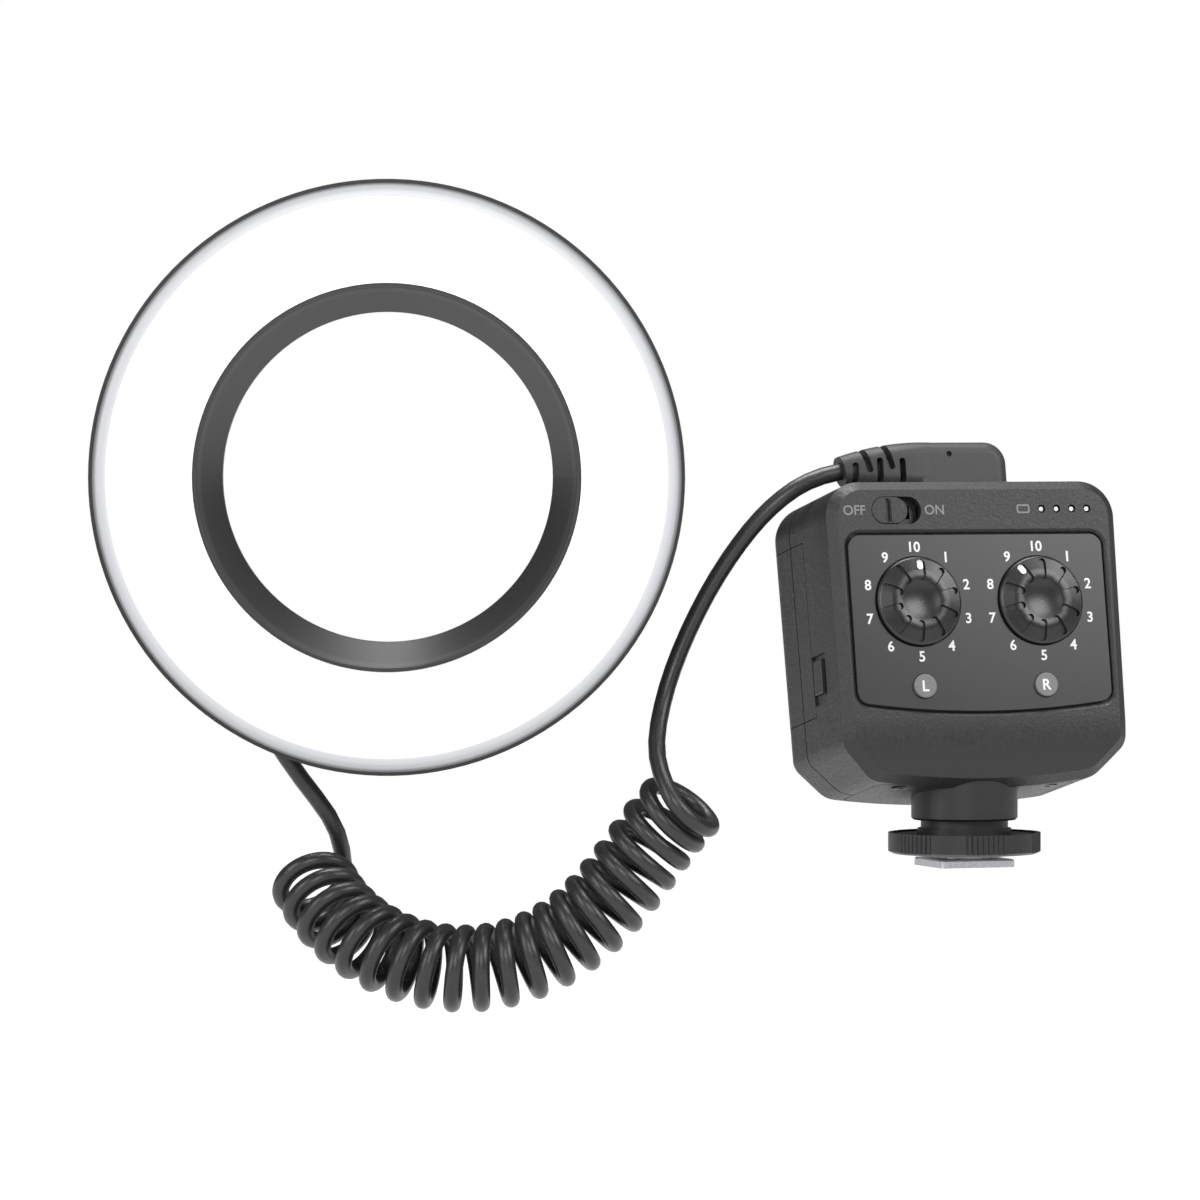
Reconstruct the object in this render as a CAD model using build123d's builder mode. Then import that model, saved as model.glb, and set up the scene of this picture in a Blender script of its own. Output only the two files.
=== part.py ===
# Macro ring light: a lit ring head, a curled cord, and a two-dial controller on a shoe mount.
# Millimetres, +Z up. The origin is the middle of the shoe foot's underside.
import os
from math import atan2, cos, pi, radians, sin, sqrt, tan

from build123d import *

os.makedirs("parts", exist_ok=True)

# Controller case
body_width = 73.0
body_height = 72.0
body_depth = 42.5
body_taper = 0.9
body_corner = 8.5
cut_reach = 28.0
cut_rise = 9.35
foot_sag = 1.95
side_corner = 4.5
foot_corner = 6.0
wall = 2.4
bevel = 2.2
rear_round = 7.5
roll_rise = 15.75
roll_depth = 5.5
seam_depth = 27.0
seam_groove = 0.45
face_lean = 11.0
case_front = -17.82
case_rise = 20.307
top_edge = body_height / 2
left_wall = -body_width / 2
roll_start = roll_rise - top_edge

# Control panel, dials, buttons, switch and lights, placed on the case face
panel_width = 64.4
panel_top = top_edge - 12.65
panel_bottom = 19.35 - top_edge
panel_sag = 2.4
panel_corner = 3.2
panel_sink = 1.3
panel_proud = -0.3
panel_edge = 0.3
opening_bevel = 0.7
dial_spread = 15.4
dial_up = panel_top - 16.1
dial_radius = 10.5
dial_base = -1.0
dial_top = 1.9
crest_radius = 6.0
crest_round = 5.0
dish_slope = 18.0
shoulder_slope = 15.0
dial_round = 0.8
dial_grooves = 10
groove_width = 1.7
groove_depth = 0.65
groove_inner = 4.75
groove_outer = 9.85
pointer_groove_width = 2.3
marker_length = 2.5
marker_width = 1.45
marker_thickness = 0.3
dial_turns = (3.5, -32.5)
shaft_radius = 3.0
shaft_grip = 1.2
pot_size = 12.4
button_spread = 15.3
button_up = panel_bottom + 3.8
button_proud = 0.5
button_radius = 2.85
button_travel = 0.6
slot_middle = -19.45
slot_up = top_edge - 7.1
slot_length = 12.5
slot_width = 6.6
slider_length = 9.0
slider_throw = 2.7
light_first = 17.3
light_pitch = 3.85
light_up = top_edge - 6.9
light_count = 4
light_well = 0.95
light_core = 0.55
screw_rise = top_edge - 9.75
case_screws = ((-29.8, top_edge - 7.0), (30.0, top_edge - 12.0), (-28.0, -screw_rise), (28.0, -screw_rise))
screw_boss = 3.0
screw_radius = 1.1
screw_head = 2.2
cover_front = 7.9
cover_back = body_depth - 7.0
cover_half = 24.6
cover_screw_x = 18.6
cover_screw_depth = 11.6
boss_bottom = 17.0
boss_top = 23.5
board_depth = 9.0
board_thickness = 1.6
board_width = 48.0
board_height = 56.4
board_up = top_edge - 33.25
strip_left = -26.3
strip_right = 30.0
strip_height = 3.8
upper_posts = (board_width / 2 - 0.8, top_edge - 14.65)
lower_posts = (board_width / 2 - 1.5, 14.75 - top_edge)
board_posts = (
    (-upper_posts[0], upper_posts[1]),
    upper_posts,
    (-lower_posts[0], lower_posts[1]),
    lower_posts,
)

# Battery bay and its door
door_front = 18.8
door_low = -17.05
door_high = 24.35
door_back = 11.0
door_wall = 2.0
hinge_drop = 0.4
hinge_stretches = 5
cell_radius = 7.1
cell_length = 50.5
cell_left = -27.5
cell_step = 8.4
bay_back = body_depth - 2.9
tray_wall = 1.0
hinge_radius = 1.9
hinge_pin_radius = 0.8
recess_low = -14.65
recess_high = -2.9
recess_front = 10.4
recess_sink = 1.25
latch_middle = -8.15
latch_height = 8.1
latch_length = 5.0
latch_thickness = 1.0
latch_travel = 1.3
catch_height = 6.0
catch_reach = 2.0

# Cord plug on the case top
plug_middle = 3.5
plug_depth = 17.0
boss_width = 22.25
boss_thickness = 11.5
boss_height = 11.3
boss_corner = 5.4
boss_round = 3.0
# Sections of the arm: run out from the boss, height, half height, half depth and corner
arm_sections = ((-3.0, 5.9, 5.7, 5.7, 2.8), (9.5, 5.6, 5.3, 5.3, 3.6), (18.65, 5.2, 3.5, 3.5, 2.9))
arm_droop = 10.0
mark_radius = 0.68
mark_place = (7.1, 8.4)
jack_radius = 1.75
jack_length = 9.0
core_radius = 2.9
lower_slits = ((16.15, 6.7), (10.35, 7.7), (4.85, 7.5))
upper_slits = ((12.55, 4.2), (7.25, 4.8))
slit_width = 1.5
socket_length = 8.6
slit_slant = 15.0

# Shoe mount
foot_width = 18.6
foot_length = 18.0
foot_thickness = 1.9
post_radius = 6.2
post_top = 26.0
washer_radius = 13.0
washer_bottom = 2.7
washer_thickness = 0.8
wheel_radius = 18.0
wheel_bottom = 3.0
wheel_height = 5.0
wheel_groups = 6
group_grooves = 8
group_start = 26.0
group_pitch = 4.1
wheel_bevel = (1.2, 0.6)
wheel_dish = 0.4
hub_radius = 10.3
hub_flare = 0.75
hub_top = 11.3
collar_radius = 12.55
collar_bottom = 11.0
collar_pocket = 3.2

# Ring head, seen square on
view_turn = 19.5
ring_x = -133.0
ring_y = 31.2
ring_z = 91.7
ring_radius = 69.8
ring_depth = 21.0
ring_wall = 2.2
rim_lip = 0.7
back_plate = 2.0
throat_radius = 38.8
funnel_radius = 45.5
funnel_depth = 9.5
funnel_wall = 1.4
funnel_lip = 0.9
diffuser_turn = 3.0
diffuser_fall = 1.2
diffuser_sink = 0.15
diffuser_thickness = 2.6
seat_radius = 42.0
seat_depth = 6.5
seat_wall = 1.7
led_rings = (50.8, 56.5, 62.2)
led_count = 24
led_size = 2.8
led_height = 0.7
led_board_depth = 13.6
post_count = 6
post_circle = 56.5
catch_width = 10.0
catch_thickness = 2.0
catch_travel = 1.6
catch_deep = 18.7
pad_inner = 52.0
pad_length = 6.5
led_first = 7.5
post_first = 30.0

# Cord. Points are (across, up, away) as seen from the front, away meaning further from the viewer.
wire_radius = 2.05
curl_radius = 8.4
curl_turns = 20.83
curl_length = 122.5
curl_end_phase = 45.0
curl_start = (-154.8, -3.4, 20.0)
curl_headings = (-64, -50, -36, -22, -9, 5, 20, 35, 47, 54, 53, 46)
curl_tilts = (50, 42, 33, 23, 13, 5, 1, 0, 0, 1, 8, 21)
gland_point = (-164.6, 31.8, 10.6)
gland_length = 10.0
gland_radius = 4.2
outlet_length = 10.0
ring_lead_point = (-158.1, 21.6, 10.6)
ring_stub = 8.5
plug_lead_points = (
    (-44.4, 86.0, -0.6),
    (-51.8, 78.0, 0.2),
    (-59.6, 66.4, 0.5),
    (-66.4, 52.8, 0.4),
    (-71.0, 40.0, -1.2),
)
plug_stub = 7.0
curl_stub = 6.5

# Clearances
sliding_gap = 0.15
seam_gap = 0.2
running_gap = 0.05
resting_gap = 0.3

across = (cos(radians(view_turn)), -sin(radians(view_turn)), 0)
towards = (-sin(radians(view_turn)), -cos(radians(view_turn)), 0)
face_normal = (0, -cos(radians(face_lean)), sin(radians(face_lean)))
face_middle = (
    0,
    case_front + top_edge * sin(radians(face_lean)),
    case_rise + top_edge * cos(radians(face_lean)),
)
FACE = Plane(origin=face_middle, x_dir=(1, 0, 0), z_dir=face_normal)
SIDE = Plane(origin=FACE.origin, x_dir=FACE.z_dir, z_dir=(-1, 0, 0))
RING = Plane(origin=(ring_x, ring_y, ring_z), x_dir=across, z_dir=towards)
VIEW = Plane(origin=(0, 0, 0), x_dir=across, z_dir=towards)


def on_face(x, y, depth=0.0):
    """A plane level with the face, its origin at a place on it, so deep inside."""
    return Plane(origin=FACE.from_local_coords((x, y, -depth)), x_dir=FACE.x_dir, z_dir=FACE.z_dir)


def on_ring(angle, radius, depth=0.0):
    """A plane level with the ring's front, its x pointing outwards at an angle."""
    turn = radians(angle)
    outward = RING.x_dir * cos(turn) + RING.y_dir * sin(turn)
    place = RING.from_local_coords((radius * cos(turn), radius * sin(turn), -depth))
    return Plane(origin=place, x_dir=outward, z_dir=RING.z_dir)


def seen(point):
    """The world place of a cord point given as across, up and away."""
    return VIEW.from_local_coords((point[0], point[1], -point[2]))


def finish(piece, label):
    """Name a finished piece and write it."""
    piece.part.label = label
    export_step(piece.part, f"parts/{label}.step")


def case_outline(inset):
    """The case seen from the front, drawn in by an inset: tapered sides, cut lower corners, arched foot."""
    half = body_width / 2 - inset
    top = top_edge - inset
    low = -top_edge + inset
    side = half - body_taper
    lean = atan2(cut_rise - foot_sag, body_width / 2 - body_taper - cut_reach)
    side_low = low + cut_rise + inset * (tan((pi / 2 - lean) / 2) - 1)
    foot = cut_reach - inset * tan(lean / 2)
    with BuildSketch() as outline:
        with BuildLine():
            Polyline((-foot, low + foot_sag), (-side, side_low), (-half, top), (half, top))
            Polyline((half, top), (side, side_low), (foot, low + foot_sag))
            ThreePointArc((foot, low + foot_sag), (0, low), (-foot, low + foot_sag))
        make_face()
        softened = tan(lean / 2) * inset
        rounds = (
            (half, top, body_corner - inset),
            (side, side_low, side_corner - softened),
            (foot, low + foot_sag, foot_corner - softened),
        )
        for x, y, corner in rounds:
            pair = [v for v in outline.vertices() if abs(abs(v.X) - x) < 0.01 and abs(v.Y - y) < 0.01]
            fillet(pair, corner)
    return outline.sketch


def case_form(inset):
    """The whole case as a filled form, drawn in by an inset."""
    low = -body_height / 2
    with BuildPart() as form:
        with BuildSketch(FACE.offset(-inset)):
            add(case_outline(inset))
        extrude(amount=-(body_depth - 2 * inset))
        back = form.faces().sort_by(Axis(FACE.origin, FACE.z_dir))[0]
        fillet(back.edges(), rear_round - inset)
        roll_radius = ((roll_start - low) ** 2 + roll_depth**2) / (2 * roll_depth)
        middle = roll_start - (roll_start - low) / 2
        dip = roll_radius - sqrt(roll_radius**2 - (roll_start - middle) ** 2)
        with BuildSketch(SIDE):
            with BuildLine():
                ThreePointArc((-inset, roll_start), (-inset - dip, middle), (-inset - roll_depth, low))
                Polyline(
                    (-inset - roll_depth, low),
                    (-inset - roll_depth, low - 5),
                    (5, low - 5),
                    (5, roll_start),
                    (-inset, roll_start),
                )
            make_face()
        extrude(amount=body_width, both=True, mode=Mode.SUBTRACT)
        if inset == 0:
            rim = [e for e in form.edges() if -FACE.to_local_coords(e.center()).Z < roll_depth + 1]
            rim = [e for e in rim if not is_tangent_line(e)]
            chamfer(rim, bevel)
    return form.part


def is_tangent_line(edge):
    """Whether an edge is the smooth line where the face starts to roll under."""
    place = FACE.to_local_coords(edge.center())
    return abs(place.X) < 1 and abs(place.Y - roll_start) < 0.5


def slab(front, back, margin=10.0):
    """Everything between two depths behind the face."""
    with BuildPart() as piece:
        with BuildSketch(FACE.offset(-front)):
            Rectangle(body_width + margin, body_height + margin)
        extrude(amount=-(back - front))
    return piece.part


def door_region(gap):
    """The space that the battery door fills, grown by a gap."""
    with BuildPart() as piece:
        with BuildSketch(FACE.offset(-(door_front - gap))):
            with Locations((-body_width / 2 + door_back, (door_low + door_high) / 2)):
                Rectangle(40 + gap, door_high - door_low + 2 * gap, align=(Align.MAX, Align.CENTER))
        extrude(amount=-(body_depth - door_front + 6))
    return piece.part


def hinge_barrel(radius, low, high):
    """A stretch of the door hinge's barrel, along the face's height."""
    x = -body_width / 2 + door_back
    with BuildPart() as piece:
        place = FACE.from_local_coords((x, low, -(body_depth - hinge_drop)))
        with BuildSketch(Plane(origin=place, x_dir=(1, 0, 0), z_dir=FACE.y_dir)):
            Circle(radius)
        extrude(amount=high - low)
    return piece.part


def cover_region(gap):
    """The space of the flush plate under the case, grown by a gap."""
    with BuildPart() as piece:
        with BuildSketch(FACE.offset(-(cover_front - gap))):
            with Locations((0, -body_height / 2 - 4)):
                Rectangle(2 * (cover_half + gap), 14, align=(Align.CENTER, Align.MIN))
        extrude(amount=-(cover_back - cover_front + 2 * gap))
        upright = piece.edges().filter_by(lambda e: abs((e % 0.5).dot(FACE.y_dir)) > 0.9)
        fillet(upright, 4.0)
    return piece.part


solid_case = case_form(0.0)
hollow_case = case_form(wall)
cover_cut = cover_region(seam_gap)
door_cut = door_region(seam_gap)
stretch = (door_high - door_low) / hinge_stretches


def hinge_knuckles(radius, first, gap):
    """Every second stretch of the hinge barrel, from the first or the second on."""
    with BuildPart() as piece:
        for count in range(first, hinge_stretches, 2):
            low = door_low + count * stretch
            add(hinge_barrel(radius, low + gap, low + stretch - gap))
    return piece.part


def panel_outline(gap):
    """The glossy panel's outline, grown by a gap: straight top, arched foot, round corners."""
    half = panel_width / 2 + gap
    top = panel_top + gap
    low = panel_bottom - gap
    with BuildSketch() as outline:
        with BuildLine():
            Line((-half, low), (-half, top))
            Line((-half, top), (half, top))
            Line((half, top), (half, low))
            ThreePointArc((half, low), (0, low - panel_sag), (-half, low))
        make_face()
        fillet(outline.vertices(), panel_corner + gap)
    return outline.sketch


latch_rest = door_front - resting_gap - latch_travel

# Front shell of the case
with BuildPart() as front_case:
    add(solid_case)
    add(hollow_case, mode=Mode.SUBTRACT)
    for x, y in case_screws:
        with BuildSketch(on_face(x, y, wall - 0.5)):
            Circle(screw_boss)
        extrude(amount=-(seam_depth - wall + 0.5))
        with BuildSketch(on_face(x, y, seam_depth)):
            Circle(screw_radius + running_gap)
        extrude(amount=10, mode=Mode.SUBTRACT)
    for x, y in board_posts:
        with BuildSketch(on_face(x, y, wall - 0.5)):
            Circle(2.2)
        extrude(amount=-(board_depth - wall + 0.5))
        with BuildSketch(on_face(x, y, board_depth)):
            Circle(screw_radius + running_gap)
        extrude(amount=4, mode=Mode.SUBTRACT)
    add(slab(seam_depth, body_depth + 5), mode=Mode.SUBTRACT)
    with BuildSketch(FACE.offset(-seam_depth)):
        add(case_outline(-1.0))
        add(case_outline(seam_groove), mode=Mode.SUBTRACT)
    extrude(amount=seam_groove, mode=Mode.SUBTRACT)
    add(cover_cut, mode=Mode.SUBTRACT)
    add(door_cut, mode=Mode.SUBTRACT)
    with BuildSketch(FACE.offset(1.0)):
        add(panel_outline(resting_gap))
    extrude(amount=-(panel_sink + 1.0), mode=Mode.SUBTRACT)
    with BuildSketch(FACE):
        add(panel_outline(resting_gap + opening_bevel))
    with BuildSketch(FACE.offset(-opening_bevel)):
        add(panel_outline(resting_gap))
    loft(ruled=True, mode=Mode.SUBTRACT)
    with BuildSketch(FACE):
        with Locations((-dial_spread, dial_up), (dial_spread, dial_up)):
            Circle(shaft_radius + 0.4)
        with Locations((-button_spread, button_up), (button_spread, button_up)):
            Circle(button_radius + sliding_gap)
        with Locations((slot_middle, slot_up)):
            SlotOverall(slot_length, slot_width)
        with Locations([(light_first + k * light_pitch, light_up) for k in range(light_count)]):
            Circle(light_well)
    extrude(amount=-(wall + 0.5), mode=Mode.SUBTRACT)
    with BuildSketch(Plane(origin=on_face(plug_middle, top_edge + 1, plug_depth).origin, z_dir=FACE.y_dir)):
        Circle(3.9)
    extrude(amount=-(wall + 2), mode=Mode.SUBTRACT)
    with BuildSketch(FACE.offset(-recess_front)):
        with Locations((left_wall - 1, (recess_low + recess_high) / 2)):
            Rectangle(1 + recess_sink, recess_high - recess_low, align=(Align.MIN, Align.CENTER))
    extrude(amount=-(door_front - recess_front), mode=Mode.SUBTRACT)
    with BuildSketch(FACE.offset(-(latch_rest - seam_gap))):
        with Locations((left_wall - 1, latch_middle)):
            Rectangle(1 + wall + 1, catch_height + 4 * seam_gap, align=(Align.MIN, Align.CENTER))
    extrude(amount=-(door_front - latch_rest + seam_gap), mode=Mode.SUBTRACT)
finish(front_case, "front_case")

# Rear shell of the case
with BuildPart() as rear_case:
    add(solid_case)
    add(hollow_case, mode=Mode.SUBTRACT)
    for x, y in case_screws:
        with BuildSketch(on_face(x, y, body_depth - wall + 0.5)):
            Circle(screw_boss)
        extrude(amount=body_depth - wall + 0.5 - seam_depth)
        with BuildSketch(on_face(x, y, body_depth + 1)):
            Circle(screw_head + running_gap)
        extrude(amount=3.4, mode=Mode.SUBTRACT)
        with BuildSketch(on_face(x, y, body_depth + 1)):
            Circle(screw_radius + running_gap)
        extrude(amount=body_depth, mode=Mode.SUBTRACT)
    add(slab(-5, seam_depth), mode=Mode.SUBTRACT)
    add(cover_cut, mode=Mode.SUBTRACT)
    add(door_cut, mode=Mode.SUBTRACT)
    add(hinge_knuckles(hinge_radius + resting_gap, 0, 0.0), mode=Mode.SUBTRACT)
    add(hinge_knuckles(hinge_radius, 1, sliding_gap))
    add(hinge_barrel(hinge_pin_radius + running_gap, door_low - 1, door_high + 1), mode=Mode.SUBTRACT)
finish(rear_case, "rear_case")

# Battery door: a corner plate with its hinge knuckles and the slot for its catch
with BuildPart() as battery_door:
    add(solid_case)
    add(case_form(door_wall), mode=Mode.SUBTRACT)
    add(door_region(0.0), mode=Mode.INTERSECT)
    add(hinge_knuckles(hinge_radius + resting_gap, 1, 0.0), mode=Mode.SUBTRACT)
    add(hinge_knuckles(hinge_radius, 0, sliding_gap))
    add(hinge_barrel(hinge_pin_radius + running_gap, door_low - 1, door_high + 1), mode=Mode.SUBTRACT)
    with BuildSketch(FACE.offset(-door_front)):
        with Locations((left_wall + recess_sink, latch_middle)):
            Rectangle(door_wall - recess_sink, catch_height, align=(Align.MIN, Align.CENTER))
    extrude(amount=-catch_reach, mode=Mode.SUBTRACT)
    with BuildSketch(FACE.offset(-seam_depth)):
        add(case_outline(-1.0))
        add(case_outline(seam_groove), mode=Mode.SUBTRACT)
    extrude(amount=seam_groove, mode=Mode.SUBTRACT)
finish(battery_door, "battery_door")

# A steel catch let into the door's edge, its tip standing out towards the latch
with BuildPart() as door_catch:
    with BuildSketch(FACE.offset(-(latch_rest + seam_gap))):
        with Locations((left_wall + recess_sink, latch_middle)):
            Rectangle(door_wall - recess_sink, catch_height, align=(Align.MIN, Align.CENTER))
    extrude(amount=-(door_front + catch_reach - latch_rest - seam_gap))
finish(door_catch, "door_catch")

with BuildPart() as door_hinge_pin:
    add(hinge_barrel(hinge_pin_radius, door_low + 0.5, door_high - 0.5))
finish(door_hinge_pin, "door_hinge_pin")

# Door latch: a thumb slide in its recess, drawn back here, that slides over the door's catch
with BuildPart() as door_latch:
    with BuildSketch(FACE.offset(-(latch_rest - latch_length))):
        with Locations((left_wall + recess_sink - sliding_gap, latch_middle)):
            Rectangle(latch_thickness, latch_height, align=(Align.MAX, Align.CENTER))
    extrude(amount=-latch_length)
    outer = door_latch.faces().sort_by(Axis.X)[0]
    chamfer(outer.edges(), 0.25)
finish(door_latch, "door_latch")

# Battery tray, cells and contacts
cell_middle = (door_low + door_high) / 2
back_depth = bay_back - cell_radius
front_depth = back_depth - sqrt((2 * cell_radius + 0.1) ** 2 - cell_step**2)
cell_places = [
    (cell_middle - 1.5 * cell_step, front_depth),
    (cell_middle - 0.5 * cell_step, back_depth),
    (cell_middle + 0.5 * cell_step, front_depth),
    (cell_middle + 1.5 * cell_step, back_depth),
]
cell_right = cell_left + cell_length
contact_length = 2.2
contact_radius = 4.0


def along_width(x, y, depth):
    """A plane facing right, at a place inside the case."""
    return Plane(origin=FACE.from_local_coords((x, y, -depth)), x_dir=FACE.y_dir, z_dir=(1, 0, 0))


with BuildPart() as battery_cells:
    for y, depth in cell_places:
        with BuildSketch(along_width(cell_left, y, depth)):
            Circle(cell_radius)
        extrude(amount=cell_length - 1.0)
        with BuildSketch(along_width(cell_right - 1.0, y, depth)):
            Circle(2.7)
        extrude(amount=1.0)
finish(battery_cells, "battery_cells")

tray_front = front_depth - cell_radius - sliding_gap - tray_wall
tray_high = cell_middle + 1.5 * cell_step + cell_radius + sliding_gap + tray_wall
tray_low = 2 * cell_middle - tray_high
tray_right = cell_right + contact_length + tray_wall
with BuildPart() as battery_tray:
    with BuildSketch(on_face((cell_left + tray_right) / 2, cell_middle, tray_front)):
        Rectangle(tray_right - cell_left, tray_high - tray_low)
    extrude(amount=-(bay_back - tray_front))
    with BuildSketch(on_face((cell_left + tray_right) / 2 - tray_wall, cell_middle, tray_front + tray_wall)):
        Rectangle(tray_right - cell_left, tray_high - tray_low - 2 * tray_wall)
    extrude(amount=-body_depth, mode=Mode.SUBTRACT)
finish(battery_tray, "battery_tray")

with BuildPart() as battery_contacts:
    for y, depth in cell_places:
        with BuildSketch(along_width(cell_right, y, depth)):
            Circle(4.4)
        with BuildSketch(along_width(cell_right + contact_length, y, depth)):
            Circle(5.6)
        loft()
finish(battery_contacts, "battery_contacts")

contact_depth = door_front + contact_radius + resting_gap
with BuildPart() as door_contacts:
    for y, depth in cell_places:
        with BuildSketch(along_width(left_wall + door_wall, y, max(depth, contact_depth))):
            Circle(contact_radius)
        with BuildSketch(along_width(cell_left - 0.1, y, depth)):
            Circle(3.0)
        loft()
    add(case_form(door_wall), mode=Mode.INTERSECT)
finish(door_contacts, "door_contacts")

# Control panel
with BuildPart() as control_panel:
    with BuildSketch(FACE.offset(-panel_sink)):
        add(panel_outline(0.0))
        with Locations((-dial_spread, dial_up), (dial_spread, dial_up)):
            Circle(dial_radius + resting_gap, mode=Mode.SUBTRACT)
        with Locations((-button_spread, button_up), (button_spread, button_up)):
            Circle(button_radius + sliding_gap, mode=Mode.SUBTRACT)
    extrude(amount=panel_sink + panel_proud)
    chamfer(control_panel.faces().sort_by(Axis(FACE.origin, FACE.z_dir))[-1].outer_wire().edges(), panel_edge)
finish(control_panel, "control_panel")


def dial_form(spot):
    """The dial's form without its grooves: a soft dish, a round crest and a sloping shoulder."""
    flank = crest_radius - crest_round * sin(radians(dish_slope))
    dish_round = flank / sin(radians(dish_slope))
    fall = (crest_round + dish_round) * (1 - cos(radians(dish_slope)))
    radial = Plane(origin=spot.origin, x_dir=spot.x_dir, z_dir=spot.y_dir * -1)
    with BuildPart() as form:
        with BuildSketch(radial) as section:
            with BuildLine() as outline:
                dish = JernArc((0, dial_top - fall), (1, 0), dish_round, dish_slope)
                crest = JernArc(dish @ 1, dish % 1, crest_round, -(dish_slope + shoulder_slope))
                run = dial_radius - (crest @ 1).X
                rim = ((crest @ 1).X + run, (crest @ 1).Y - run * tan(radians(shoulder_slope)))
                Polyline(crest @ 1, rim, (dial_radius, dial_base), (0, dial_base), (0, dial_top - fall))
            make_face()
            fillet(section.vertices().sort_by_distance(rim)[0], dial_round)
        revolve(axis=Axis(spot.origin, spot.z_dir))
    return form.part


def capsule(spot, angle, inner, outer, width, height):
    """An upright capsule on a dial, from one radius to another at an angle."""
    with BuildPart() as piece:
        with BuildSketch(spot):
            with PolarLocations((inner + outer) / 2, 1, start_angle=angle):
                SlotOverall(outer - inner, width)
        extrude(amount=height)
    return piece.part


def dial_at(side, turn, name):
    """A dished dial with radial grooves, its pointer in one groove, its shaft and its control below."""
    spot = on_face(side * dial_spread, dial_up)
    lowered = dial_form(spot.offset(-groove_depth))
    with BuildPart() as dial:
        add(dial_form(spot))
        with BuildPart(mode=Mode.PRIVATE) as grooves:
            for count in range(dial_grooves):
                width = groove_width if count else pointer_groove_width
                angle = 90 - turn + count * 360 / dial_grooves
                add(capsule(spot.offset(dial_base), angle, groove_inner, groove_outer, width, 5.0))
            add(lowered, mode=Mode.SUBTRACT)
        add(grooves.part, mode=Mode.SUBTRACT)
        with BuildSketch(spot.offset(dial_base)):
            Circle(shaft_radius)
        extrude(amount=shaft_grip, mode=Mode.SUBTRACT)
    finish(dial, f"dial_{name}")
    with BuildPart() as pointer:
        inner = groove_outer - marker_length
        add(capsule(spot.offset(dial_base), 90 - turn, inner, groove_outer, marker_width, 5.0))
        add(dial_form(spot.offset(marker_thickness - groove_depth)), mode=Mode.INTERSECT)
        add(lowered, mode=Mode.SUBTRACT)
    finish(pointer, f"dial_pointer_{name}")
    with BuildPart() as shaft:
        with BuildSketch(spot.offset(-(board_depth - 3))):
            Circle(shaft_radius)
        extrude(amount=board_depth - 3 + dial_base + shaft_grip)
    finish(shaft, f"dial_shaft_{name}")
    with BuildPart() as control:
        with BuildSketch(spot.offset(-board_depth)):
            RectangleRounded(pot_size, pot_size, 1)
        extrude(amount=board_depth - wall - 0.1)
        with BuildSketch(spot.offset(-(board_depth - 2.9))):
            Circle(shaft_radius + running_gap)
        extrude(amount=board_depth, mode=Mode.SUBTRACT)
    finish(control, f"dimmer_control_{name}")


dial_at(-1, dial_turns[0], "left")
dial_at(1, dial_turns[1], "right")


def button_at(side, name):
    """A round push button with its flange under the case wall, and the switch that it presses."""
    spot = on_face(side * button_spread, button_up)
    with BuildPart() as button:
        with BuildSketch(spot.offset(-wall)):
            Circle(button_radius)
        extrude(amount=wall + button_proud)
        fillet(button.edges().group_by(Axis(spot.origin, spot.z_dir))[-1], 0.3)
        with BuildSketch(spot.offset(-wall - 0.1)):
            Circle(button_radius + 0.7)
        extrude(amount=-1.2)
        with BuildSketch(spot.offset(-wall - 0.1)):
            Circle(button_radius)
        extrude(amount=0.2)
        with BuildSketch(spot.offset(-wall - 1.3)):
            Circle(1.6)
        extrude(amount=-1.0)
    finish(button, f"button_{name}")
    with BuildPart() as switch:
        with BuildSketch(spot.offset(-board_depth)):
            RectangleRounded(6.2, 6.2, 0.4)
        extrude(amount=3.4)
        with BuildSketch(spot.offset(-board_depth + 3.4)):
            Circle(1.75)
        extrude(amount=board_depth - 3.4 - wall - 2.3 - button_travel - 0.1)
    finish(switch, f"button_switch_{name}")


button_at(-1, "left")
button_at(1, "right")

# Power switch: the slider in its slot and the switch below
slide_spot = on_face(slot_middle, slot_up)
rest_x = -(slot_length - slider_length) / 2 + 0.1
with BuildPart() as power_slider:
    with BuildSketch(on_face(slot_middle + rest_x, slot_up, wall - 0.3)):
        SlotOverall(slider_length, slot_width - 2 * sliding_gap)
    extrude(amount=wall - 0.3 + 0.1)
    fillet(power_slider.faces().sort_by(Axis(FACE.origin, FACE.z_dir))[-1].edges(), 0.25)
    with BuildSketch(on_face(slot_middle + rest_x, slot_up, -0.1)):
        with Locations((-0.55, 0)):
            SlotOverall(slot_width - 0.9, 1.1, rotation=90)
    extrude(amount=-0.6, mode=Mode.SUBTRACT)
    with BuildSketch(on_face(slot_middle + rest_x, slot_up, 0.3)):
        with Locations((0.55, 0)):
            SlotOverall(slot_width - 1.2, 0.6, rotation=90)
    extrude(amount=0.65)
    with BuildSketch(on_face(slot_middle + rest_x, slot_up, wall - 0.3)):
        Rectangle(2.0, 3.0)
    extrude(amount=-3.2)
finish(power_slider, "power_slider")

with BuildPart() as power_switch:
    with BuildSketch(slide_spot.offset(-board_depth)):
        RectangleRounded(12.0, 6.4, 0.5)
    extrude(amount=board_depth - wall - 0.4)
    with BuildSketch(slide_spot.offset(-wall)):
        Rectangle(2.0 + slider_throw + 2 * rest_x * -1 + 0.6, 3.3)
    extrude(amount=-4.0, mode=Mode.SUBTRACT)
finish(power_switch, "power_switch")

# Battery lights, from the board to the face
with BuildPart() as indicator_lights:
    with BuildSketch(FACE.offset(-board_depth)):
        with Locations([(light_first + k * light_pitch, light_up) for k in range(light_count)]):
            Circle(light_core)
    extrude(amount=board_depth - 0.35)
finish(indicator_lights, "indicator_lights")

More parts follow.
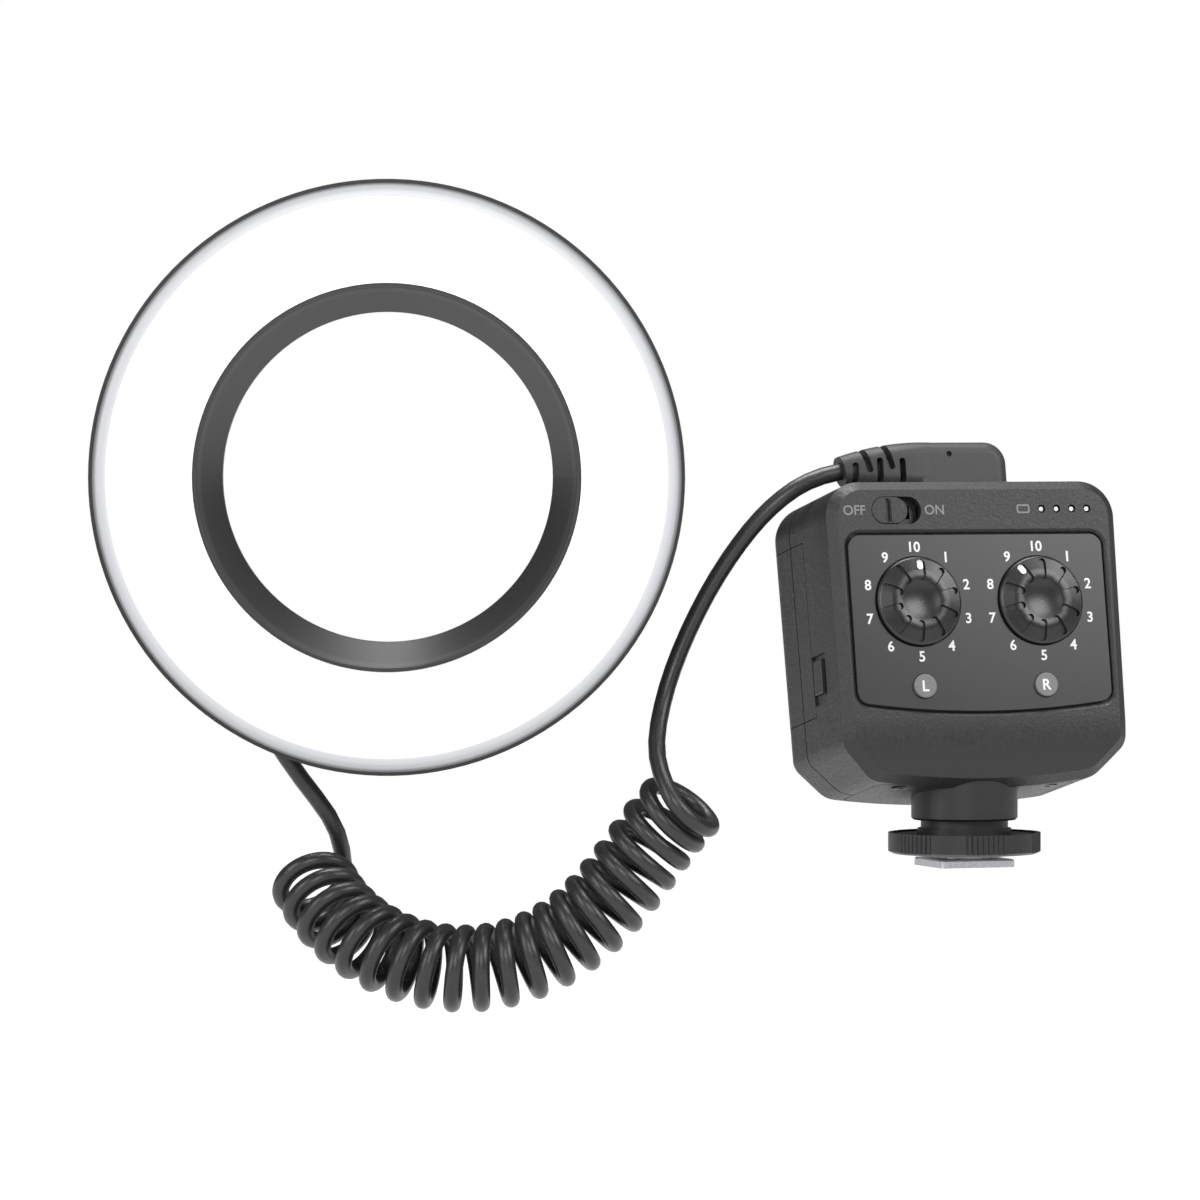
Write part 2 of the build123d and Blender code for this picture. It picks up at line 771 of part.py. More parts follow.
# Main board and its screws
with BuildPart() as main_board:
    with BuildSketch(FACE.offset(-board_depth)):
        with Locations((0, board_up)):
            Rectangle(board_width, board_height)
        with Locations(((strip_left + strip_right) / 2, light_up)):
            Rectangle(strip_right - strip_left, strip_height)
        with Locations(board_posts):
            Circle(screw_radius + running_gap, mode=Mode.SUBTRACT)
    extrude(amount=-board_thickness)
finish(main_board, "main_board")

with BuildPart() as board_screws:
    for x, y in board_posts:
        with BuildSketch(on_face(x, y, board_depth + board_thickness)):
            Circle(screw_head)
        extrude(amount=-1.4)
        with BuildSketch(on_face(x, y, board_depth + board_thickness)):
            Circle(screw_radius)
        extrude(amount=board_thickness + 3.6)
finish(board_screws, "board_screws")

with BuildPart() as case_screw_set:
    for x, y in case_screws:
        with BuildSketch(on_face(x, y, body_depth + 1 - 3.4)):
            Circle(screw_head)
            RegularPolygon(0.9, 6, mode=Mode.SUBTRACT)
        extrude(amount=-1.6)
        with BuildSketch(on_face(x, y, body_depth + 1 - 3.4)):
            Circle(screw_radius)
        extrude(amount=body_depth + 1 - 3.4 - seam_depth + 8)
finish(case_screw_set, "case_screws")

# Flush plate under the case, with the boss that holds the shoe post
post_hole = post_radius + running_gap
with BuildPart() as bottom_cover:
    add(solid_case)
    add(case_form(wall), mode=Mode.SUBTRACT)
    add(cover_region(0.0), mode=Mode.INTERSECT)
    with BuildSketch(Plane.XY.offset(boss_bottom)):
        Circle(post_hole + 3.0)
    extrude(amount=boss_top - boss_bottom)
    add(solid_case, mode=Mode.INTERSECT)
    with BuildSketch():
        Circle(post_hole)
    extrude(amount=60, mode=Mode.SUBTRACT)
    for x in (-cover_screw_x, cover_screw_x):
        under = Plane(origin=on_face(x, -body_height / 2 - 3, cover_screw_depth).origin, z_dir=FACE.y_dir)
        with BuildSketch(under):
            Circle(screw_head + running_gap)
        extrude(amount=3 + 1.9, mode=Mode.SUBTRACT)
        with BuildSketch(under):
            Circle(screw_radius + running_gap)
        extrude(amount=12, mode=Mode.SUBTRACT)
finish(bottom_cover, "bottom_cover")

with BuildPart() as cover_screw_set:
    for x in (-cover_screw_x, cover_screw_x):
        seat = Plane(origin=on_face(x, 1.9 - top_edge, cover_screw_depth).origin, z_dir=FACE.y_dir)
        with BuildSketch(seat):
            Circle(screw_head)
            RegularPolygon(0.9, 6, mode=Mode.SUBTRACT)
        extrude(amount=-1.2)
        with BuildSketch(seat):
            Circle(screw_radius)
        extrude(amount=3.0)
finish(cover_screw_set, "cover_screws")

# Socket in the case top and the cord's angled plug
TOP = Plane(origin=on_face(plug_middle, top_edge, plug_depth).origin, x_dir=(1, 0, 0), z_dir=FACE.y_dir)
with BuildPart() as cord_socket:
    with BuildSketch(TOP.offset(-wall - 0.1)):
        RectangleRounded(10, 10, 0.6)
    extrude(amount=-socket_length)
    with BuildSketch(TOP.offset(-wall - 0.1)):
        Circle(3.8)
    extrude(amount=wall)
    with BuildSketch(TOP):
        Circle(jack_radius + running_gap)
    extrude(amount=-jack_length - 0.6, mode=Mode.SUBTRACT)
finish(cord_socket, "cord_socket")

boss_left = -boss_width / 2
plug_lift = resting_gap


def on_arm(run, height, droop=0.0):
    """A plane across the plug's arm, a run out from the boss, facing along the arm."""
    way = TOP.x_dir * -cos(radians(droop)) - TOP.z_dir * sin(radians(droop))
    return Plane(origin=TOP.from_local_coords((boss_left - run, 0, height)), x_dir=TOP.y_dir, z_dir=way)


arm_tip = on_arm(arm_sections[-1][0], arm_sections[-1][1], arm_droop)
arm_planes = [on_arm(section[0], section[1]) for section in arm_sections[:-1]] + [arm_tip]
FRONT_OF_PLUG = Plane(origin=TOP.origin, x_dir=TOP.x_dir, z_dir=-TOP.y_dir)
with BuildPart() as cord_plug:
    with BuildSketch(FRONT_OF_PLUG.offset(-boss_thickness / 2)) as boss_front:
        with Locations((0, plug_lift)):
            Rectangle(boss_width, boss_height, align=(Align.CENTER, Align.MIN))
        corner = boss_front.vertices().sort_by_distance((boss_width / 2, plug_lift + boss_height))[0]
        fillet(corner, boss_corner)
    extrude(amount=boss_thickness)
    flat = boss_thickness / 2 - 0.01
    rims = [e for e in cord_plug.edges() if abs(TOP.to_local_coords(e @ 0.5).Y) > flat]
    rims = [e for e in rims if TOP.to_local_coords(e @ 0.5).Z > plug_lift + 0.01]
    rims = [e for e in rims if TOP.to_local_coords(e @ 0.5).X > boss_left + 0.01]
    fillet(rims, boss_round)
    for plane, (_, _, half_height, half_depth, corner_radius) in zip(arm_planes, arm_sections):
        with BuildSketch(plane):
            RectangleRounded(2 * half_depth, 2 * half_height, corner_radius)
    loft()
    with BuildSketch(FRONT_OF_PLUG.offset(boss_thickness / 2)):
        with Locations((boss_left + mark_place[0], mark_place[1])):
            Circle(mark_radius)
    extrude(amount=-1.2, mode=Mode.SUBTRACT)
    with BuildSketch(FRONT_OF_PLUG):
        for run, top in lower_slits:
            with Locations((boss_left - run, top)):
                SlotOverall(4 * arm_sections[0][1], slit_width, rotation=90, align=(Align.MAX, Align.CENTER))
        for run, bottom in upper_slits:
            with Locations((boss_left - run, bottom)):
                SlotOverall(4 * arm_sections[0][1], slit_width, rotation=90 + slit_slant,
                            align=(Align.MIN, Align.CENTER))
    extrude(amount=2 * boss_thickness, both=True, mode=Mode.SUBTRACT)
    for plane in arm_planes:
        with BuildSketch(plane):
            Circle(core_radius)
    loft()
    with BuildSketch(TOP.offset(plug_lift)):
        Circle(jack_radius)
    extrude(amount=-jack_length - plug_lift)
finish(cord_plug, "cord_plug")

# Shoe mount, upright below the leaning case
with BuildPart() as shoe_foot:
    with BuildSketch():
        RectangleRounded(foot_width, foot_length, 0.8)
    extrude(amount=foot_thickness)
    chamfer(shoe_foot.faces().sort_by(Axis.Z)[-1].edges(), 0.35)
    with BuildSketch(Plane.XY.offset(foot_thickness)):
        Circle(post_radius)
    extrude(amount=post_top - foot_thickness)
finish(shoe_foot, "shoe_foot")

with BuildPart() as clamp_washer:
    with BuildSketch(Plane.XY.offset(washer_bottom)):
        Circle(washer_radius)
        Circle(post_hole, mode=Mode.SUBTRACT)
    extrude(amount=washer_thickness)
finish(clamp_washer, "clamp_washer")

washer_top = washer_bottom + washer_thickness
wheel_top = wheel_bottom + wheel_height
with BuildPart() as lock_wheel:
    with BuildSketch(Plane.XY.offset(wheel_bottom)):
        Circle(wheel_radius)
        for group in range(wheel_groups):
            for count in range(group_grooves):
                angle = group_start + group * 360 / wheel_groups
                angle += (count - (group_grooves - 1) / 2) * group_pitch
                with PolarLocations(wheel_radius + 0.35, 1, start_angle=angle):
                    Circle(0.75, mode=Mode.SUBTRACT)
    extrude(amount=wheel_height)
    with BuildSketch(Plane.XZ):
        with BuildLine():
            Polyline(
                (wheel_radius - wheel_bevel[0], wheel_bottom),
                (wheel_radius, wheel_bottom + wheel_bevel[1]),
                (wheel_radius + 1, wheel_bottom + wheel_bevel[1]),
                (wheel_radius + 1, wheel_bottom - 1),
                (wheel_radius - wheel_bevel[0], wheel_bottom - 1),
                close=True,
            )
        make_face()
    revolve(axis=Axis.Z, mode=Mode.SUBTRACT)
    with BuildSketch(Plane.XY.offset(wheel_top)):
        Circle(wheel_radius - wheel_bevel[0])
        Circle(hub_radius + hub_flare, mode=Mode.SUBTRACT)
    extrude(amount=-wheel_dish, mode=Mode.SUBTRACT)
    with BuildSketch(Plane.XY.offset(wheel_top)):
        Circle(hub_radius)
    extrude(amount=hub_top - wheel_top)
    with BuildSketch(Plane.XY.offset(wheel_top)):
        Circle(hub_radius + hub_flare)
    extrude(amount=1.0)
    with BuildSketch(Plane.XY.offset(wheel_bottom - 1)):
        Circle(washer_radius + sliding_gap)
    extrude(amount=1 + washer_top - wheel_bottom + running_gap, mode=Mode.SUBTRACT)
    with BuildSketch():
        Circle(post_hole)
    extrude(amount=hub_top + 1, mode=Mode.SUBTRACT)
finish(lock_wheel, "lock_wheel")

with BuildPart() as neck_collar:
    with BuildSketch(Plane.XY.offset(collar_bottom)):
        Circle(collar_radius)
        Circle(post_hole, mode=Mode.SUBTRACT)
    extrude(amount=boss_top - collar_bottom)
    with BuildSketch(Plane.XY.offset(collar_bottom)):
        Circle(hub_radius + hub_flare + resting_gap)
    extrude(amount=collar_pocket, mode=Mode.SUBTRACT)
    chamfer(neck_collar.edges().group_by(Axis.Z)[0].sort_by(SortBy.LENGTH)[-1], 0.5)
    add(solid_case, mode=Mode.SUBTRACT)
    with BuildSketch(Plane(origin=FACE.from_local_coords((0, -body_height / 2 + 3, 0)), z_dir=FACE.y_dir)):
        Rectangle(200, 200)
    extrude(amount=60, mode=Mode.SUBTRACT)
finish(neck_collar, "neck_collar")

with BuildPart() as post_nut:
    with BuildSketch(Plane.XY.offset(boss_top)):
        Circle(post_hole + 2.6)
        Circle(post_hole, mode=Mode.SUBTRACT)
    extrude(amount=post_top - boss_top)
finish(post_nut, "post_nut")

# Ring head
RADIAL = Plane(origin=RING.origin, x_dir=RING.x_dir, z_dir=RING.y_dir * -1)
RING_AXIS = Axis(RING.origin, RING.z_dir)
seat_outer = seat_radius + seat_wall
ledge = funnel_depth / 2
inner_wall = seat_outer + 0.1
ledge_radius = funnel_radius + 1.3


def turned(points):
    """A solid of revolution about the ring's axis, from (radius, height above the front) points."""
    with BuildPart() as piece:
        with BuildSketch(RADIAL):
            with BuildLine():
                Polyline(*points, close=True)
            make_face()
        revolve(axis=RING_AXIS)
    return piece.part


# The gland points along the lead, its end where the lead starts
gland_way = (seen(ring_lead_point) - seen(gland_point)).normalized()
GLAND = Plane(origin=seen(gland_point), x_dir=RING.z_dir, z_dir=gland_way)

with BuildPart() as ring_housing:
    with BuildSketch(RING):
        Circle(ring_radius)
    extrude(amount=-ring_depth)
    fillet(ring_housing.edges().sort_by(RING_AXIS)[0], 2.4)
    with BuildSketch(RING.offset(-diffuser_sink - diffuser_thickness)):
        Circle(ring_radius - rim_lip)
    extrude(amount=5, mode=Mode.SUBTRACT)
    with BuildSketch(RING.offset(-(ring_depth - back_plate))):
        Circle(ring_radius - ring_wall)
        Circle(inner_wall + 1.7, mode=Mode.SUBTRACT)
    extrude(amount=ring_depth, mode=Mode.SUBTRACT)
    with BuildSketch(RING.offset(1)):
        Circle(inner_wall)
    extrude(amount=-ring_depth - 2, mode=Mode.SUBTRACT)
    with BuildSketch(RING.offset(-ledge)):
        Circle(ledge_radius)
    extrude(amount=ring_depth, mode=Mode.SUBTRACT)
    for k in range(post_count):
        post = on_ring(post_first + k * 360 / post_count, post_circle, ring_depth - back_plate / 2)
        with BuildSketch(post):
            Circle(2.2)
        extrude(amount=ring_depth - back_plate / 2 - led_board_depth - board_thickness)
        with BuildSketch(post.offset(1.5)):
            Circle(screw_radius + running_gap)
        extrude(amount=ring_depth, mode=Mode.SUBTRACT)
    for angle in (0, 180):
        with BuildSketch(on_ring(angle, 0, ring_depth + 1)):
            with Locations((pad_inner - catch_travel - resting_gap, 0)):
                Rectangle(pad_length + catch_travel + 2 * resting_gap, catch_width - 1.4,
                          align=(Align.MIN, Align.CENTER))
        extrude(amount=back_plate + 2, mode=Mode.SUBTRACT)
        with BuildSketch(on_ring(angle, 0, catch_deep + sliding_gap)):
            with Locations((inner_wall - 1, 0)):
                Rectangle(4, catch_width + 2 * sliding_gap, align=(Align.MIN, Align.CENTER))
        extrude(amount=catch_thickness + 2 * sliding_gap, mode=Mode.SUBTRACT)
finish(ring_housing, "ring_housing")

# The boss on the ring's back that the cord's gland comes out of
with BuildPart() as ring_outlet:
    with BuildSketch(GLAND.offset(-gland_length)):
        Rectangle(2 * gland_radius + 3.6, 2 * gland_radius + 1.6)
    extrude(amount=-outlet_length)
    with BuildSketch(RING.offset(5)):
        Circle(ring_radius)
    extrude(amount=-(5 + ring_depth), mode=Mode.SUBTRACT)
finish(ring_outlet, "ring_outlet")

# The diffuser, its outer edge turned down, and the sleeve that frames the hole
diffuser_outer = ring_radius - rim_lip - sliding_gap / 3
diffuser_inner = funnel_radius + sliding_gap / 3
diffuser_back = -diffuser_sink - diffuser_thickness
with BuildPart() as ring_diffuser:
    add(
        turned(
            [
                (diffuser_inner, diffuser_back),
                (diffuser_inner, -diffuser_sink),
                (diffuser_outer - diffuser_turn, -diffuser_sink),
                (diffuser_outer - diffuser_turn * 0.6, -diffuser_sink - diffuser_fall * 0.16),
                (diffuser_outer - diffuser_turn * 0.25, -diffuser_sink - diffuser_fall * 0.5),
                (diffuser_outer, -diffuser_sink - diffuser_fall),
                (diffuser_outer, diffuser_back),
            ]
        )
    )
finish(ring_diffuser, "ring_diffuser")

seat_top = -(ring_depth - seat_depth) + 1.0
funnel_run = funnel_radius - funnel_lip - throat_radius
back_shift = funnel_wall * 1.3
sleeve = [
    (funnel_radius, 0.25),
    (funnel_radius - funnel_lip, 0.25),
    (funnel_radius - funnel_lip - 0.2, 0.0),
    (throat_radius, -funnel_depth),
    (throat_radius, seat_top),
    (throat_radius + funnel_wall, seat_top),
    (throat_radius + funnel_wall, -funnel_depth - (back_shift - funnel_wall) * funnel_depth / funnel_run),
    (throat_radius + back_shift + funnel_run * (funnel_depth - ledge) / funnel_depth, -ledge),
    (funnel_radius + 1.1, -ledge),
    (funnel_radius + 1.1, diffuser_back),
    (funnel_radius, diffuser_back),
]
with BuildPart() as ring_sleeve:
    add(turned(sleeve))
finish(ring_sleeve, "ring_sleeve")

# The collar at the back that takes a lens adapter, with windows for the two catches
with BuildPart() as lens_seat:
    add(
        turned(
            [
                (throat_radius, seat_top - 1.0),
                (throat_radius, seat_top),
                (seat_outer, seat_top),
                (seat_outer, -ring_depth),
                (seat_radius, -ring_depth),
                (seat_radius, seat_top - 1.0),
            ]
        )
    )
    for angle in (0, 180):
        with BuildSketch(on_ring(angle, 0, catch_deep + sliding_gap)):
            with Locations((seat_radius - 2, 0)):
                Rectangle(5, catch_width + 2 * sliding_gap, align=(Align.MIN, Align.CENTER))
        extrude(amount=catch_thickness + 2 * sliding_gap, mode=Mode.SUBTRACT)
finish(lens_seat, "lens_seat")

for angle, name in ((0, "right"), (180, "left")):
    with BuildPart() as catch:
        with BuildSketch(on_ring(angle, 0, catch_deep)):
            with Locations((seat_radius + running_gap, 0)):
                Rectangle(pad_inner + pad_length - seat_radius, catch_width, align=(Align.MIN, Align.CENTER))
        extrude(amount=catch_thickness)
        with BuildSketch(on_ring(angle, 0, catch_deep)):
            with Locations((pad_inner, 0)):
                Rectangle(pad_length, catch_width - 2, align=(Align.MIN, Align.CENTER))
        extrude(amount=-(ring_depth + 1.2 - catch_deep))
        for count in range(3):
            with BuildSketch(on_ring(angle, 0, ring_depth + 1.2)):
                with Locations((pad_inner + 1.4 + count * 1.6, 0)):
                    Rectangle(0.6, catch_width - 3)
            extrude(amount=0.5, mode=Mode.SUBTRACT)
    finish(catch, f"ring_lock_{name}")

# Light board, lights and screws
with BuildPart() as led_board:
    with BuildSketch(RING.offset(-led_board_depth)):
        Circle(ring_radius - ring_wall - 0.5)
        Circle(inner_wall + 2.2, mode=Mode.SUBTRACT)
        with PolarLocations(post_circle, post_count, start_angle=post_first):
            Circle(screw_radius + running_gap, mode=Mode.SUBTRACT)
    extrude(amount=-board_thickness)
finish(led_board, "led_board")

with BuildPart() as ring_leds:
    for radius in led_rings:
        with BuildSketch(RING.offset(-led_board_depth)):
            with PolarLocations(radius, led_count, start_angle=led_first):
                Rectangle(led_size, led_size)
        extrude(amount=led_height)
finish(ring_leds, "ring_leds")

with BuildPart() as ring_screws:
    for k in range(post_count):
        head = on_ring(post_first + k * 360 / post_count, post_circle, led_board_depth)
        with BuildSketch(head):
            Circle(screw_head)
        extrude(amount=1.3)
        with BuildSketch(head):
            Circle(screw_radius)
        extrude(amount=-4.5)
finish(ring_screws, "ring_screws")

with BuildPart() as ring_gland:
    with BuildSketch(GLAND.offset(-gland_length)):
        Circle(gland_radius)
    with BuildSketch(GLAND):
        Circle(wire_radius + 0.9)
    loft()
    for count in range(3):
        with BuildSketch(GLAND.offset(-gland_length + 2.2 + count * 2.4)):
            Circle(gland_radius + 1)
            Circle(wire_radius + 1.1, mode=Mode.SUBTRACT)
        extrude(amount=1.0, mode=Mode.SUBTRACT)
finish(ring_gland, "ring_gland")


# Cord: the curls run on an axis whose heading and tilt are read off evenly spaced lists
def reading(values, share):
    """The value at a share of the way along an evenly spaced list."""
    spot = share * (len(values) - 1)
    index = min(int(spot), len(values) - 2)
    return values[index] + (values[index + 1] - values[index]) * (spot - index)


def curl_frames(count):
    """Places along the curls' axis with its direction, and the two directions square to it."""
    frames = []
    place = Vector(*curl_start)
    for index in range(count + 1):
        share = index / count
        heading = radians(reading(curl_headings, share))
        tilt = radians(reading(curl_tilts, share))
        along = Vector(cos(tilt) * cos(heading), cos(tilt) * sin(heading), -sin(tilt))
        upper = Vector(-sin(heading), cos(heading), 0)
        front = Vector(sin(tilt) * cos(heading), sin(tilt) * sin(heading), cos(tilt)) * -1
        if index:
            place += (along + last) * (curl_length / count / 2)
        last = along
        frames.append((place, along, upper, front, share))
    return frames


def curl_point(frame):
    """The wire's place and direction at one frame of the axis."""
    place, along, upper, front, share = frame
    phase = radians(curl_end_phase) + 2 * pi * curl_turns * (1 - share)
    spot = place + upper * (curl_radius * cos(phase)) + front * (curl_radius * sin(phase))
    swing = upper * sin(phase) - front * cos(phase)
    way = along * (curl_length / curl_turns / (2 * pi)) + swing * curl_radius
    return spot, way.normalized()


quarter_count = round(curl_turns * 4)
knots = [curl_point(frame) for frame in curl_frames(quarter_count * 24)[::24]]
fine = [curl_point(frame)[0] for frame in curl_frames(quarter_count * 12)]
turn_points = round(len(fine) / curl_turns)
gaps = [
    (fine[i] - fine[i + k]).length - 2 * wire_radius
    for i in range(0, len(fine), 3)
    for k in range(turn_points * 2 // 3, turn_points * 4 // 3)
    if i + k < len(fine)
]
print("least gap between turns", round(min(gaps), 2))


def as_seen(vector):
    """A cord direction given as across, up and away, in the world."""
    return VIEW.x_dir * vector.X + VIEW.y_dir * vector.Y - VIEW.z_dir * vector.Z


def joint_of(start, start_way, end, end_way):
    """Where the two arcs of a biarc meet."""
    chord = end - start
    total = start_way + end_way
    lean = 2 * (1 - start_way.dot(end_way))
    reach = (sqrt(chord.dot(total) ** 2 + lean * chord.dot(chord)) - chord.dot(total)) / lean
    return (start + start_way * reach + end - end_way * reach) * 0.5


stub = 2 * wire_radius
first_spot, first_way = seen(tuple(knots[0][0])), as_seen(knots[0][1])
last_spot, last_way = seen(tuple(knots[-1][0])), as_seen(knots[-1][1])
coil_start = first_spot - first_way * stub
coil_end = last_spot + last_way * stub
with BuildLine() as coil_path:
    Line(coil_start, first_spot)
    for (here, here_way), (there, there_way) in zip(knots, knots[1:]):
        start = seen(tuple(here))
        end = seen(tuple(there))
        middle = joint_of(start, as_seen(here_way), end, as_seen(there_way))
        TangentArc(start, middle, tangent=as_seen(here_way))
        TangentArc(middle, end, tangent=coil_path.line.edges()[-1] % 1)
    Line(last_spot, coil_end)
print("curled wire length", round(coil_path.wires()[0].length))
with BuildPart() as cord_coil:
    with BuildSketch(Plane(origin=coil_start, z_dir=first_way)):
        Circle(wire_radius)
    sweep(path=coil_path.wires()[0])
finish(cord_coil, "cord_coil")


def lead(points, label):
    """A straight-run lead with tangent arcs, its radii printed with its volume check."""
    radii = []
    for before, here, after in zip(points, points[1:], points[2:]):
        turn = (here - before).get_angle(after - here)
        shorter = min((here - before).length, (after - here).length)
        radii.append(0.45 * shorter / tan(radians(turn / 2)))
    with BuildLine() as path:
        FilletPolyline(*points, radius=radii)
    with BuildPart() as tube:
        with BuildSketch(Plane(origin=points[0], z_dir=points[1] - points[0])):
            Circle(wire_radius)
        sweep(path=path.wires()[0])
    length = path.wires()[0].length
    share = tube.part.volume / (pi * wire_radius**2 * length)
    rounded = [round(radius, 1) for radius in radii]
    print(label, "radii", rounded, "length", round(length), "volume", round(share, 3))
    finish(tube, label)


ring_lead_route = [seen(gland_point), seen(ring_lead_point), coil_start - first_way * ring_stub, coil_start]
lead(ring_lead_route, "cord_lead_ring")
plug_lead_route = [arm_tip.origin, arm_tip.origin + arm_tip.z_dir * plug_stub]
plug_lead_route += [seen(point) for point in plug_lead_points]
plug_lead_route += [coil_end + last_way * curl_stub, coil_end]
lead(plug_lead_route, "cord_lead_plug")
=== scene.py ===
"""Macro ring light: a ring head with a painted glow, on a curled cord, with a two-dial controller."""
from math import cos, pi, radians, sin

import bmesh
import bpy
from mathutils import Matrix, Vector


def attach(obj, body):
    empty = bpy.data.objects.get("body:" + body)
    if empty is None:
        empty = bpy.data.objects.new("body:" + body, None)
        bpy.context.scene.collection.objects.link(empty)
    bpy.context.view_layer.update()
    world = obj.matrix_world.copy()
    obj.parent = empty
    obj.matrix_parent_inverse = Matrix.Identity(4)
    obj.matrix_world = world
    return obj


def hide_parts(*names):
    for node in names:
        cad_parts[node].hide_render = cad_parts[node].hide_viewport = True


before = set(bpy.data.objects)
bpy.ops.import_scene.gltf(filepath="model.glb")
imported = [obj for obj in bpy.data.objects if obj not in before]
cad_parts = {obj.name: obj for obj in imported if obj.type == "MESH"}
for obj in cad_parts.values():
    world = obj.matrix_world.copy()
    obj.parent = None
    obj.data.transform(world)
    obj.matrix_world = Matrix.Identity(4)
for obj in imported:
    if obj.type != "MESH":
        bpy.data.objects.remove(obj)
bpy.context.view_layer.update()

# Real sizes in millimetres, as the controller and the ring head have them
VIEW_TURN = radians(19.5)
FACE_LEAN = radians(11)
RING_MIDDLE = (-133.0, 31.2, 91.7)
FACE_HALF_HEIGHT = 36.0
FACE_FOOT_Y, FACE_FOOT_Z = -17.82, 20.307
FACE_MIDDLE = (
    0,
    FACE_FOOT_Y + FACE_HALF_HEIGHT * sin(FACE_LEAN),
    FACE_FOOT_Z + FACE_HALF_HEIGHT * cos(FACE_LEAN),
)
DIAL_SPREAD, DIAL_UP = 15.4, 7.25
BUTTON_SPREAD, BUTTON_UP = 15.3, -12.85
PANEL_PROUD, BUTTON_PROUD = -0.3, 0.5
DIFFUSER_EDGE, RING_RADIUS = 65.4, 69.1
THROAT_RADIUS, SLEEVE_RADIUS = 38.8, 45.5
WIRE_RADIUS = 2.05


def placing(origin, across, out):
    """A frame with x across, y up and z out, from millimetres to metres."""
    x, z = Vector(across).normalized(), Vector(out).normalized()
    turn = Matrix((x, z.cross(x), z)).transposed().to_4x4()
    return Matrix.Scale(0.001, 4) @ Matrix.Translation(origin) @ turn


ACROSS = (cos(VIEW_TURN), -sin(VIEW_TURN), 0)
TOWARDS = (-sin(VIEW_TURN), -cos(VIEW_TURN), 0)
FACE = placing(FACE_MIDDLE, (1, 0, 0), (0, -cos(FACE_LEAN), sin(FACE_LEAN)))
SEEN = placing((0, 0, 0), ACROSS, TOWARDS)


def spot(plane, x, y, out):
    """A place on a plane, so far out from it."""
    return plane @ Matrix.Translation((x, y, out))


# Materials
def tone(code):
    """An sRGB hex value as linear colour."""
    parts = [int(code[k:k + 2], 16) / 255 for k in (1, 3, 5)]
    return [c / 12.92 if c <= 0.04045 else ((c + 0.055) / 1.055) ** 2.4 for c in parts] + [1.0]


def node(tree, kind, inputs=None, **settings):
    """Add a node: settings are its properties, inputs its sockets' values or the outputs that feed them."""
    made = tree.nodes.new("ShaderNode" + kind)
    for name, value in settings.items():
        setattr(made, name, value)
    for name, value in (inputs or {}).items():
        if isinstance(value, bpy.types.NodeSocket):
            tree.links.new(value, made.inputs[name])
        else:
            made.inputs[name].default_value = value
    return made


def finish(name, **shader):
    """A material with its shader, and its place in millimetres for the patterns."""
    made = bpy.data.materials.new(name)
    made.use_nodes = True
    tree = made.node_tree
    tree.nodes.clear()
    named = {key.replace("_", " ").replace("Ior", "IOR"): value for key, value in shader.items()}
    surface = node(tree, "BsdfPrincipled", named)
    node(tree, "OutputMaterial", {"Surface": surface.outputs[0]})
    coords = node(tree, "TexCoord")
    place = node(tree, "Mapping", {"Vector": coords.outputs["Object"], "Scale": (1000, 1000, 1000)})
    return made, tree, surface, place.outputs[0]


# The part of a noise's range that holds nearly all of its values
NOISE_LOW, NOISE_HIGH = 0.32, 0.68


def grain(tree, surface, place, size, depth, strength=1.0, detail=2.0, tones=None, rough=None):
    """A fine moulded grain of a size and depth in millimetres, with its tones and gloss."""
    noise = node(tree, "TexNoise", {"Vector": place, "Scale": 1 / size, "Detail": detail, "Roughness": 0.6})
    bump = node(tree, "Bump", {"Height": noise.outputs[0], "Distance": depth / 1000, "Strength": strength})
    tree.links.new(bump.outputs[0], surface.inputs["Normal"])
    span = {"Value": noise.outputs[0], "From Min": NOISE_LOW, "From Max": NOISE_HIGH}
    clear = node(tree, "MapRange", span).outputs[0]
    if tones:
        mix = node(tree, "Mix", {"Factor": clear}, data_type="RGBA")
        mix.inputs[6].default_value = tone(tones[0])
        mix.inputs[7].default_value = tone(tones[1])
        tree.links.new(mix.outputs[2], surface.inputs["Base Color"])
    if rough:
        spread = node(tree, "MapRange", {"Value": clear, "To Min": rough[0], "To Max": rough[1]})
        tree.links.new(spread.outputs[0], surface.inputs["Roughness"])


def from_ring_axis(tree, place):
    """How far a place is from the middle of the ring's front, in millimetres."""
    return node(tree, "VectorMath", {0: place, 1: RING_MIDDLE}, operation="DISTANCE").outputs["Value"]


def banded(tree, value, stops):
    """A colour that runs through (value, hex) stops."""
    low, high = stops[0][0], stops[-1][0]
    share = node(tree, "MapRange", {"Value": value, "From Min": low, "From Max": high}).outputs[0]
    ramp = node(tree, "ValToRGB", {"Fac": share})
    elements = ramp.color_ramp.elements
    while len(elements) < len(stops):
        elements.new(0.5)
    for element, (at, code) in zip(elements, stops):
        element.position = (at - low) / (high - low)
        element.color = tone(code)
    return ramp.outputs[0]


# Case: ABS moulded in a spark-eroded tool, an even grain of small glints. The real grain is 0.3 mm
# across and is drawn twice as coarse, so that it shows
spark_abs, tree, surface, place = finish("spark_eroded_abs", Roughness=0.5, Ior=1.53)
grain(tree, surface, place, 0.62, 0.10, 1.0, tones=("#1b1b1d", "#29292b"), rough=(0.40, 0.58))

# Panel: polished acrylic-capped ABS, flat and glossy with faint moulding waves
panel_gloss, tree, surface, place = finish("polished_abs_panel", Roughness=0.3, Ior=1.52)
grain(tree, surface, place, 9.0, 0.002, 0.2, tones=("#151517", "#19191b"))

# Dials: satin ABS, smooth with a soft sheen that follows the dish
satin_abs, tree, surface, place = finish("satin_abs_dials", Roughness=0.3, Ior=1.55)
grain(tree, surface, place, 0.22, 0.008, 0.3, tones=("#1c1c1e", "#242426"), rough=(0.26, 0.34))

